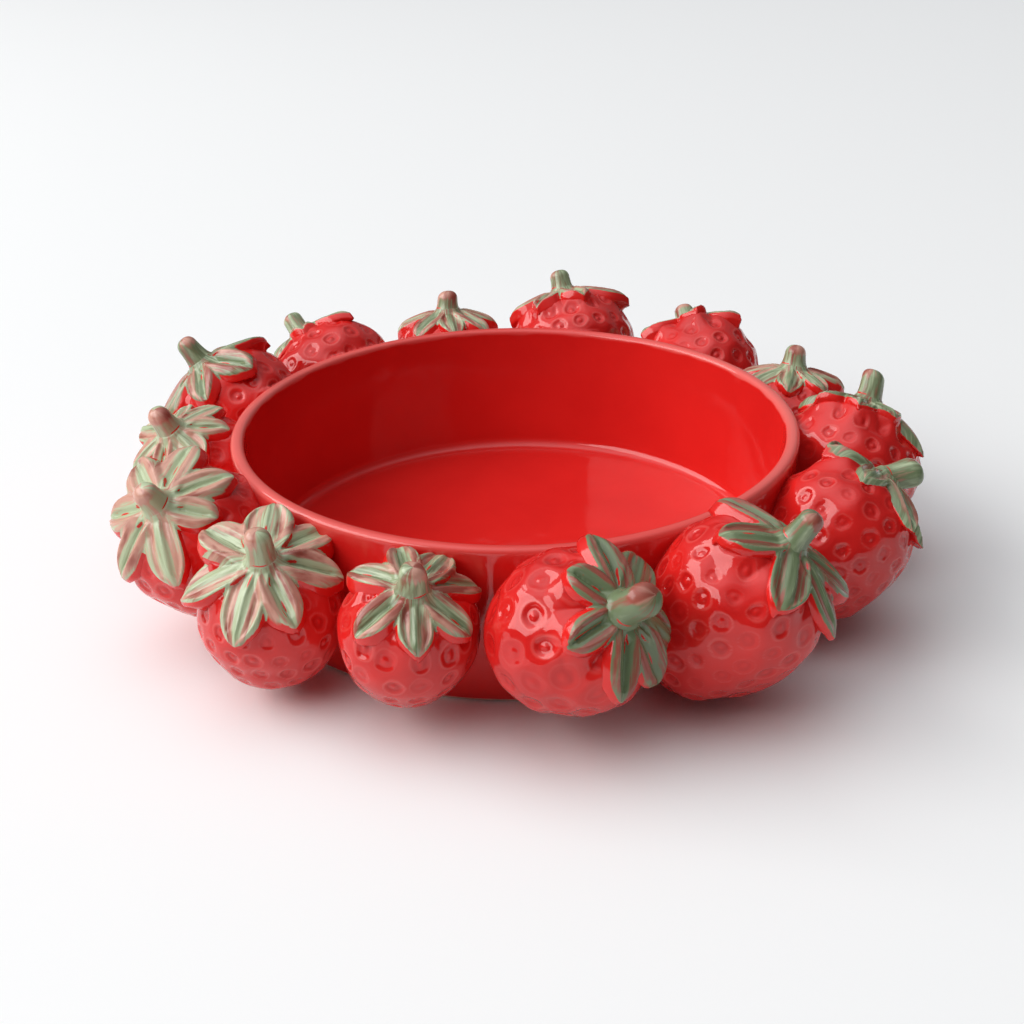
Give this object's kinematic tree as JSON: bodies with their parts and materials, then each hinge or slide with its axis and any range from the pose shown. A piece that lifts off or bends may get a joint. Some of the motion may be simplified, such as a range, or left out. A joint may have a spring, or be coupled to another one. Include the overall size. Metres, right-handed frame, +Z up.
{
  "type": "ceramic bowl",
  "caption": "Round glazed ceramic serving bowl with a ring of hollow strawberries, leaf crowns and stems stuck round its outer wall.",
  "frame": {"origin": "centre of the bowl's flat base, on the surface that it rests on", "axes": "+Z up along the bowl's axis; -Y towards the front that the picture shows"},
  "size_m": [0.2979, 0.3035, 0.074],
  "materials": {
    "bowl_glaze": "gloss",
    "berry_glaze": "gloss",
    "leaf_glaze": "gloss",
    "stem_glaze": "gloss"
  },
  "bodies": {
    "root": {"bowl_body": "bowl_glaze", "berry_01": "berry_glaze", "calyx_01": "leaf_glaze", "stem_01": "stem_glaze", "berry_02": "berry_glaze", "calyx_02": "leaf_glaze", "stem_02": "stem_glaze", "berry_03": "berry_glaze", "calyx_03": "leaf_glaze", "stem_03": "stem_glaze", "berry_04": "berry_glaze", "calyx_04": "leaf_glaze", "stem_04": "stem_glaze", "berry_05": "berry_glaze", "calyx_05": "leaf_glaze", "stem_05": "stem_glaze", "berry_06": "berry_glaze", "calyx_06": "leaf_glaze", "stem_06": "stem_glaze", "berry_07": "berry_glaze", "calyx_07": "leaf_glaze", "stem_07": "stem_glaze", "berry_08": "berry_glaze", "calyx_08": "leaf_glaze", "stem_08": "stem_glaze", "berry_09": "berry_glaze", "calyx_09": "leaf_glaze", "stem_09": "stem_glaze", "berry_10": "berry_glaze", "calyx_10": "leaf_glaze", "stem_10": "stem_glaze", "berry_11": "berry_glaze", "calyx_11": "leaf_glaze", "stem_11": "stem_glaze", "berry_12": "berry_glaze", "calyx_12": "leaf_glaze", "stem_12": "stem_glaze", "berry_13": "berry_glaze", "calyx_13": "leaf_glaze", "stem_13": "stem_glaze", "berry_14": "berry_glaze", "calyx_14": "leaf_glaze", "stem_14": "stem_glaze"}
  },
  "joints": []
}
